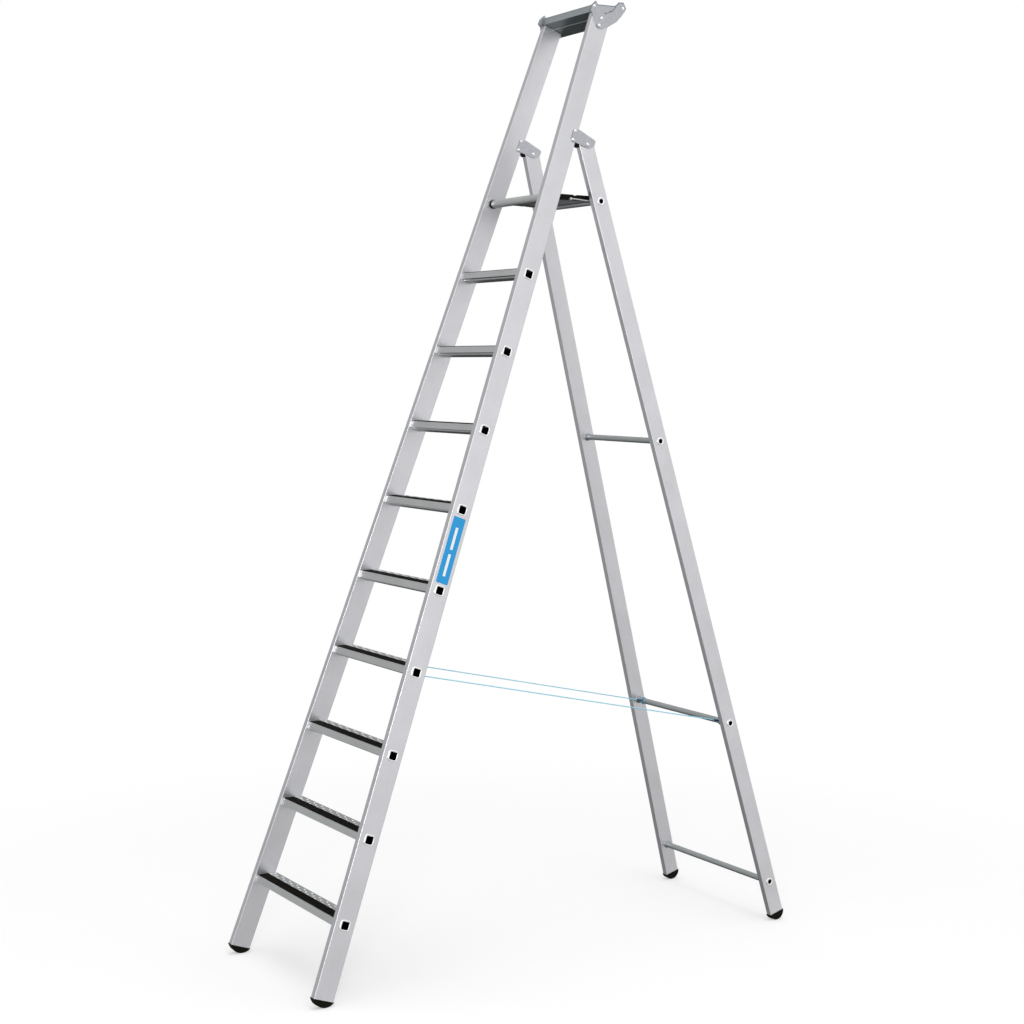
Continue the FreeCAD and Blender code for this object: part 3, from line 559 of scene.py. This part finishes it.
def add_block(shape, low, high, bevel=0.0, within=Matrix()):
    """A box between two corners of the given frame, with its edges rounded."""
    low, high = Vector(low), Vector(high)
    size = high - low
    place = within @ Matrix.Translation((low + high) / 2) @ Matrix.Diagonal((*size, 1))
    made = bmesh.ops.create_cube(shape, size=1, matrix=place)["verts"]
    if bevel:
        edges = list({edge for vert in made for edge in vert.link_edges})
        bmesh.ops.bevel(shape, geom=edges, offset=bevel, affect="EDGES", segments=2, profile=0.5,
                        material=-1)


def keep_pattern(shape, name):
    """Keep a small finished shape as a mesh, to be stamped many times."""
    bmesh.ops.recalc_face_normals(shape, faces=shape.faces)
    pattern = bpy.data.meshes.new(name)
    shape.to_mesh(pattern)
    shape.free()
    return pattern


def stamp(shape, pattern, place):
    copy = pattern.copy()
    copy.transform(place)
    shape.from_mesh(copy)
    bpy.data.meshes.remove(copy)


def outwards(section, side, along, distance, depth=0):
    """A frame on the outside of a stile whose Z points away from the ladder."""
    turn = Matrix.Rotation(side * pi / 2, 4, "Y")
    return stile_place(section, side, along, side * distance, depth) @ turn


def lip_pattern(shape, width, height):
    """Turn one flat face into a low ring with a rounded rim."""
    face = next(iter(shape.faces))
    ring = bmesh.ops.inset_region(shape, faces=[face], thickness=width, use_boundary=True)["faces"]
    bmesh.ops.delete(shape, geom=[face], context="FACES_ONLY")
    raised = bmesh.ops.extrude_face_region(shape, geom=ring)["geom"]
    moved = {item for item in raised if isinstance(item, bmesh.types.BMVert)}
    bmesh.ops.translate(shape, verts=list(moved), vec=(0, 0, height))
    rims = [edge for edge in shape.edges
            if set(edge.verts) <= moved and len(edge.link_faces) == 2 and edge.calc_face_angle() > 1]
    bmesh.ops.bevel(shape, geom=rims, offset=0.4 * height, affect="EDGES", segments=3, profile=0.5,
                    material=-1)


# Tread grips: a base strip with rounded ribs running along it --------------------------------------

RIBS = 11


def add_grip(number):
    low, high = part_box(f"tread_grip_{number}")
    low, high = Vector(low), Vector(high)
    shape = bmesh.new()
    base_top = low.z + 0.4 * (high.z - low.z)
    add_block(shape, low, (high.x, high.y, base_top))
    pitch = (high.y - low.y) / RIBS
    for rib in range(RIBS):
        start = low.y + rib * pitch + 0.12 * pitch
        add_block(shape, (low.x, start, base_top - 0.0003), (high.x, start + 0.76 * pitch, high.z),
                  bevel=0.0005)
    piece = add_piece(f"grip_ribs_{number}", shape, GRIP_RUBBER, "front_section")
    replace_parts(piece, f"tread_grip_{number}")


# Tread studs: raised rings on the rear half of each step -------------------------------------------

STUD_PITCH = 51 * MM
STUD_RADIUS = 3.6 * MM
STUD_HEIGHT = 1.3 * MM
STUD_ROWS = (4.4, 12.8, 21.1)
STUD_SIDES = 14


def add_stud(shape, centre):
    """A raised ring with a sunk middle."""
    place = Matrix.Translation(centre + Vector((0, 0, STUD_HEIGHT / 2)))
    made = bmesh.ops.create_cone(shape, cap_ends=True, segments=STUD_SIDES, radius1=STUD_RADIUS,
                                 radius2=0.86 * STUD_RADIUS, depth=STUD_HEIGHT, matrix=place)["verts"]
    crown = max({face for vert in made for face in vert.link_faces},
                key=lambda face: face.calc_center_median().z)
    bmesh.ops.inset_region(shape, faces=[crown], thickness=0.45 * STUD_RADIUS, depth=0)
    bmesh.ops.translate(shape, verts=crown.verts, vec=(0, 0, -0.4 * STUD_HEIGHT))


def add_studs(number):
    grip_low, grip_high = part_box(f"tread_grip_{number}")
    half = grip_high[0] - 10 * MM
    top = grip_low[2]
    shape = bmesh.new()
    for row, back in enumerate(STUD_ROWS):
        y = grip_high[1] + back * MM
        shift = STUD_PITCH / 2 if row % 2 else 0
        count = int(half / STUD_PITCH) + 1
        for step in range(-count, count + 1):
            x = step * STUD_PITCH + shift
            if -half < x < half:
                add_stud(shape, Vector((x, y, top - 0.0001)))
    add_piece(f"tread_studs_{number}", shape, STUD_PAINTED_HIGHLIGHT, "front_section", radians(40))


for number in range(1, TREADS + 1):
    add_grip(number)
    add_studs(number)


# Rung flutes: a grooved sleeve round each rear rung ------------------------------------------------

FLUTES = 28
SLEEVE_RADIUS = 9.45 * MM
FLUTE_DEPTH = 0.4 * MM


def add_flutes(number):
    low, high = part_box(f"rear_rung_{number}")
    centre = (Vector(low) + Vector(high)) / 2
    inset = (29 if number > 1 else 33) * MM
    length = high[0] - low[0] - 2 * inset
    shape = bmesh.new()
    place = Matrix.Translation(centre) @ Matrix.Rotation(pi / 2, 4, "Y")
    made = bmesh.ops.create_cone(shape, cap_ends=True, segments=2 * FLUTES, radius1=SLEEVE_RADIUS,
                                 radius2=SLEEVE_RADIUS, depth=length, matrix=place)["verts"]
    for vert in made:
        spoke = Vector((0, vert.co.y - centre.y, vert.co.z - centre.z))
        step = round(spoke.yz.angle_signed(Vector((1, 0))) / (pi / FLUTES))
        if step % 2:
            vert.co -= spoke.normalized() * FLUTE_DEPTH
    add_piece(f"rung_flutes_{number}", shape, RUNG_ALUMINIUM, "rear_section", radians(50))


for number in range(1, len(RUNG_ALONGS) + 1):
    add_flutes(number)


# Flared ends of the treads and rungs ---------------------------------------------------------------

LIP_HEIGHT = 2.5 * MM


def square_lip():
    shape = bmesh.new()
    made = bmesh.ops.create_grid(shape, x_segments=1, y_segments=1, size=15.8 * MM)["verts"]
    bmesh.ops.bevel(shape, geom=made, offset=8.5 * MM, affect="VERTICES", segments=5, profile=0.5,
                    material=-1)
    lip_pattern(shape, 3.7 * MM, LIP_HEIGHT)
    return keep_pattern(shape, "square_lip")


def round_lip():
    shape = bmesh.new()
    bmesh.ops.create_circle(shape, cap_ends=True, segments=32, radius=12.3 * MM)
    lip_pattern(shape, 4.4 * MM, LIP_HEIGHT)
    return keep_pattern(shape, "round_lip")


# The bore sleeves below carry painted shade: black linings that stand for the darkness inside the tube ends.
BORE_DEPTH = 55 * MM
BORE_WALL = 0.3 * MM
MOUTH_INSET = 1

def bore_pattern(shape):
    """Turn one flat face into a thin sleeve that runs inwards."""
    face = next(iter(shape.faces))
    ring = bmesh.ops.inset_region(shape, faces=[face], thickness=BORE_WALL, use_boundary=True)["faces"]
    bmesh.ops.delete(shape, geom=[face], context="FACES_ONLY")
    sunk = bmesh.ops.extrude_face_region(shape, geom=ring)["geom"]
    moved = [item for item in sunk if isinstance(item, bmesh.types.BMVert)]
    bmesh.ops.translate(shape, verts=moved, vec=(0, 0, -BORE_DEPTH))


def square_bore():
    shape = bmesh.new()
    made = bmesh.ops.create_grid(shape, x_segments=1, y_segments=1, size=11.65 * MM)["verts"]
    bmesh.ops.bevel(shape, geom=made, offset=2.5 * MM, affect="VERTICES", segments=4, profile=0.5,
                    material=-1)
    bore_pattern(shape)
    return keep_pattern(shape, "square_bore")


def round_bore():
    shape = bmesh.new()
    bmesh.ops.create_circle(shape, cap_ends=True, segments=32, radius=7.55 * MM)
    bore_pattern(shape)
    return keep_pattern(shape, "round_bore")


def add_bores(name, pattern, section, along, body):
    """Thin black sleeves of painted shade inside the open ends of one tread or rung, standing for the shade
    deep in the tube; the real tube is bare.
    """
    shape = bmesh.new()
    stile = STILES[section]
    for side in SIDES.values():
        mouth = stile_place(section, side, along, side * (stile["half"] + MOUTH_INSET),
                            stile["tube_depth"])
        level = Matrix.Translation(mouth.translation) @ Matrix.Rotation(-stile["lean"], 4, "X")
        stamp(shape, pattern, level @ Matrix.Rotation(side * pi / 2, 4, "Y"))
    add_piece(name, shape, BORE_PAINTED_SHADE, body, radians(35))


def add_lips(name, pattern, section, along, body):
    """The flared mouths at both ends of one tread or rung, in a near-white painted highlight."""
    shape = bmesh.new()
    stile = STILES[section]
    for side in SIDES.values():
        stamp(shape, pattern, outwards(section, side, along, stile["half"] - 0.1, stile["tube_depth"]))
    add_piece(name, shape, LIP_PAINTED_HIGHLIGHT, body, radians(35))


SQUARE_LIP, SQUARE_BORE = square_lip(), square_bore()
ROUND_LIP, ROUND_BORE = round_lip(), round_bore()
for number in range(1, TREADS + 1):
    along = TREAD_FIRST + TREAD_PITCH * (number - 1)
    add_lips(f"tread_lips_{number}", SQUARE_LIP, "front", along, "front_section")
    add_bores(f"tread_bore_painted_shade_{number}", SQUARE_BORE, "front", along, "front_section")
for number, along in enumerate(RUNG_ALONGS, start=1):
    add_lips(f"rung_lips_{number}", ROUND_LIP, "rear", along, "rear_section")
    add_bores(f"rung_bore_painted_shade_{number}", ROUND_BORE, "rear", along, "rear_section")


# Rivets: domed heads on the plates -----------------------------------------------------------------

HEAD_RADIUS = 4.8 * MM
HEAD_HEIGHT = 1.8 * MM
SHANK_RADIUS = 3.2 * MM
PLATE_FACE = 13.5
HINGE_RIVETS = ((2720, 20.2), (2691.6, 20.6))
TRAY_RIVETS = ((3091, 1.9), (3066.5, 0.5), (3114.8, -36.1), (3155.4, 67.2))


def domed_head():
    """The top of a ball, cut off flat."""
    ball = (HEAD_RADIUS ** 2 + HEAD_HEIGHT ** 2) / (2 * HEAD_HEIGHT)
    shape = bmesh.new()
    bmesh.ops.create_uvsphere(shape, u_segments=20, v_segments=24, radius=ball,
                              matrix=Matrix.Translation((0, 0, HEAD_HEIGHT - ball)))
    geometry = list(shape.verts) + list(shape.edges) + list(shape.faces)
    cut = bmesh.ops.bisect_plane(shape, geom=geometry, plane_co=(0, 0, 0), plane_no=(0, 0, 1),
                                 clear_inner=True)["geom_cut"]
    rim = [item for item in cut if isinstance(item, bmesh.types.BMEdge)]
    bmesh.ops.edgenet_fill(shape, edges=rim)
    return keep_pattern(shape, "domed_head")


def add_shank(shape, side, along, depth):
    """The body of a rivet, from its head through to the stile's inner face."""
    length = (PLATE_FACE + STILES["front"]["half"]) * MM
    middle = outwards("front", side, along, (PLATE_FACE - STILES["front"]["half"]) / 2, depth)
    bmesh.ops.create_cone(shape, cap_ends=True, segments=20, radius1=SHANK_RADIUS, radius2=SHANK_RADIUS,
                          depth=length, matrix=middle)


def add_shanks(name, spots):
    shape = bmesh.new()
    for side in SIDES.values():
        for along, depth in spots:
            add_shank(shape, side, along, depth)
    add_piece(name, shape, FRONT_ALUMINIUM, "front_section", radians(35))


def add_rivets(name, spots, faces):
    shape = bmesh.new()
    for side in SIDES.values():
        for along, depth in spots:
            for face in faces:
                place = outwards("front", side, along, face * PLATE_FACE, depth)
                if face < 0:
                    place = place @ Matrix.Rotation(pi, 4, "X")
                stamp(shape, DOMED_HEAD, place)
    return add_piece(name, shape, BRIGHT_STEEL, "front_section", radians(35))


DOMED_HEAD = domed_head()
add_shanks("tray_rivet_shanks", TRAY_RIVETS[:2])
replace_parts(add_rivets("tray_rivet_heads", TRAY_RIVETS, (1,)), "tray_rivets")
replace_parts(add_rivets("hinge_rivet_heads", HINGE_RIVETS, (1, -1)), "hinge_rivets")


# End plates: a bead of painted shadow along the outline, and one of painted shade that fills the curved slot
# ----

END_PLATE_BASE = 3100
RIM_BEAD, SLOT_BEAD = 1.9, 1.7
RIM_POINTS = ((-46.6, -3), (-46.6, 11), (-36, 30.6), (-25.6, 22.6), (-14, 27.4), (36, 47.4),
              (43.8, 58.4), (46.6, 65.2), (61.6, 72.2), (75.8, 59.4), (72.8, 46.8))
SLOT_POINTS = ((6.2, 7.8), (19, 17.4), (30.5, 28.5), (36.4, 38), (40.3, 47.8))


def add_edging(name, points, radius, smooth):
    """A round bead of painted shade that follows points given behind and up the plate, on both end plates.
    """
    for side_name, side in SIDES.items():
        curve = bpy.data.curves.new(f"{name}_{side_name}", "CURVE")
        curve.dimensions = "3D"
        curve.bevel_depth = radius * MM
        curve.bevel_resolution = 3
        curve.use_fill_caps = True
        spline = curve.splines.new("NURBS" if smooth else "POLY")
        spline.points.add(len(points) - 1)
        base = stile_place("front", side, END_PLATE_BASE, side * (PLATE_FACE - 1.5))
        for knot, (depth, up) in zip(spline.points, points):
            knot.co = (*(base @ (Vector((0, depth, up)) * MM)), 1)
        if smooth:
            spline.order_u = 3
            spline.use_endpoint_u = True
        curve.materials.append(PLATE_EDGE_PAINTED_SHADE)
        piece = bpy.data.objects.new(f"{name}_{side_name}", curve)
        scene.collection.objects.link(piece)
        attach(piece, "front_section")


add_edging("end_plate_shadow_line", RIM_POINTS, RIM_BEAD, smooth=False)
add_edging("slot_painted_shade", SLOT_POINTS, SLOT_BEAD, smooth=True)


# Tool tray: rolled edges and the stiffening bead under its floor -----------------------------------

TRAY_ALONG = 3097.6
TRAY_ROLLS = ((-35, 23, 1.9), (50, 43, 1.9), (2, -0.2, 1.6))


def add_tray_rolls():
    low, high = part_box("tool_tray")
    place = Matrix.Translation(Vector((0, *stile_point("front", TRAY_ALONG))) * MM)
    place = place @ Matrix.Rotation(-STILES["front"]["lean"], 4, "X")
    shape = bmesh.new()
    for depth, height, radius in TRAY_ROLLS:
        spot = place @ Matrix.Translation(Vector((0, depth, height)) * MM)
        bmesh.ops.create_cone(shape, cap_ends=True, segments=20, radius1=radius * MM, radius2=radius * MM,
                              depth=high[0] - low[0] - 8 * MM,
                              matrix=spot @ Matrix.Rotation(pi / 2, 4, "Y"))
    add_piece("tray_rolled_edges", shape, TRAY_ALUMINIUM, "front_section", radians(40))


add_tray_rolls()


# Platform: ribs across the deck --------------------------------------------------------------------

DECK_RIBS = 24
DECK_RIB_WIDTH = 2.6 * MM
DECK_RIB_HEIGHT = 0.8 * MM


def add_deck_ribs():
    low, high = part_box("platform_deck")
    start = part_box("platform_nose")[1][1] + 2 * MM
    pitch = (high[1] - start - DECK_RIB_WIDTH) / (DECK_RIBS - 1)
    shape = bmesh.new()
    for rib in range(DECK_RIBS):
        front = start + rib * pitch
        add_block(shape, (low[0] + 2 * MM, front, high[2] - 0.2 * MM),
                  (high[0] - 2 * MM, front + DECK_RIB_WIDTH, high[2] + DECK_RIB_HEIGHT), bevel=0.3 * MM)
    add_piece("platform_deck_ribs", shape, CROSS_ALUMINIUM, "platform")


add_deck_ribs()


# Label: two plain white bars on the blue film ------------------------------------------------------

LABEL_FACE = 10.85
LABEL_BAR_THICK = 0.25
LABEL_BARS = ((1286, 1354), (1368, 1436))
LABEL_BAR_HALF = 4.5


def add_label_marks():
    shape = bmesh.new()
    place = stile_place("front", 1, 0)
    for start, end in LABEL_BARS:
        low = Vector((LABEL_FACE, -LABEL_BAR_HALF, start)) * MM
        high = Vector((LABEL_FACE + LABEL_BAR_THICK, LABEL_BAR_HALF, end)) * MM
        add_block(shape, low, high, within=place)
    add_piece("label_marks", shape, WHITE_FILM, "front_section")


add_label_marks()


# Cord ends on the rear rung: a loop of cord closed by a crimped sleeve -----------------------------

RUNG_RADIUS = 9 * MM
SLEEVE_LENGTH = 20 * MM
LOOP_X = 213 * MM


def add_cord_loops():
    loops = bmesh.new()
    sleeves = bmesh.new()
    centre_y, centre_z = Vector(stile_point("rear", RUNG_ALONGS[2], 1)) * MM
    reach = RUNG_RADIUS + CORD_DIAMETER / 2 + 0.4 * MM
    for side in SIDES.values():
        centre = Vector((side * LOOP_X, centre_y, centre_z))
        strand = Matrix.Translation(centre + Vector((0, reach, 0)))
        ring = bmesh.ops.create_circle(loops, segments=12, radius=CORD_DIAMETER / 2,
                                       matrix=strand)["verts"]
        edges = list({edge for vert in ring for edge in vert.link_edges})
        bmesh.ops.spin(loops, geom=ring + edges, cent=centre, axis=(1, 0, 0), angle=2 * pi, steps=40,
                       use_merge=True, dvec=(0, 0, 0))
        front = Vector((side * CORD_FRONT.x, CORD_FRONT.y, CORD_FRONT.z))
        pull = (front - centre).normalized()
        middle = centre + pull * (RUNG_RADIUS + SLEEVE_LENGTH / 2 + 1 * MM)
        turn = pull.to_track_quat("Z", "X").to_matrix().to_4x4()
        made = bmesh.ops.create_cone(sleeves, cap_ends=True, segments=20, radius1=3.1 * MM, radius2=2.6 * MM,
                                     depth=SLEEVE_LENGTH, matrix=Matrix.Translation(middle) @ turn)["verts"]
        ends = [edge for edge in {edge for vert in made for edge in vert.link_edges}
                if any(len(face.verts) > 4 for face in edge.link_faces)]
        bmesh.ops.bevel(sleeves, geom=ends, offset=0.8 * MM, affect="EDGES", segments=2, profile=0.5,
                        material=-1)
    add_piece("cord_loop_strands", loops, LOOP_BRAID, "rear_section", radians(60))
    piece = add_piece("cord_loop_sleeves", sleeves, BLUE_SLEEVE, "rear_section", radians(50))
    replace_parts(piece, "cord_loops")


# Spreader cords ------------------------------------------------------------------------------------

CORD_DIAMETER = 3.5 * MM
CORD_FRONT = Vector((224.38, -492.47, 919.96)) * MM
CORD_REAR = Vector((213.30, 626.57, 683.46)) * MM
CORD_STEPS = 120


def add_cord(side_name, side):
    start = Vector((side * CORD_FRONT.x, CORD_FRONT.y, CORD_FRONT.z))
    end = Vector((side * CORD_REAR.x, CORD_REAR.y, CORD_REAR.z))
    run = end - start
    turn = run.to_track_quat("Z", "X").to_matrix().to_4x4()
    shape = bmesh.new()
    ring = bmesh.ops.create_circle(shape, cap_ends=True, segments=10, radius=CORD_DIAMETER / 2,
                                   matrix=Matrix.Translation(start) @ turn)["verts"]
    face = ring[0].link_faces[0]
    uv = shape.loops.layers.uv.new("along")
    for _ in range(CORD_STEPS):
        made = bmesh.ops.extrude_face_region(shape, geom=[face])["geom"]
        moved = [item for item in made if isinstance(item, bmesh.types.BMVert)]
        bmesh.ops.translate(shape, verts=moved, vec=run / CORD_STEPS)
        bmesh.ops.delete(shape, geom=[face], context="FACES_ONLY")
        face = next(item for item in made if isinstance(item, bmesh.types.BMFace))
    across = turn.to_3x3() @ Vector((1, 0, 0))
    upward = turn.to_3x3() @ Vector((0, 1, 0))
    for side_face in shape.faces:
        for loop in side_face.loops:
            spoke = loop.vert.co - start
            along = spoke.dot(run.normalized())
            angle = Vector((spoke.dot(across), spoke.dot(upward))).angle_signed(Vector((1, 0)), 0)
            loop[uv].uv = (along / CORD_DIAMETER, angle / pi)
    piece = add_piece(f"cord_{side_name}", shape, BLUE_BRAID, None, radians(60))
    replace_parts(piece, f"spreader_cord_{side_name}")
    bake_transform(piece)


for side_name, side in SIDES.items():
    add_cord(side_name, side)
add_cord_loops()
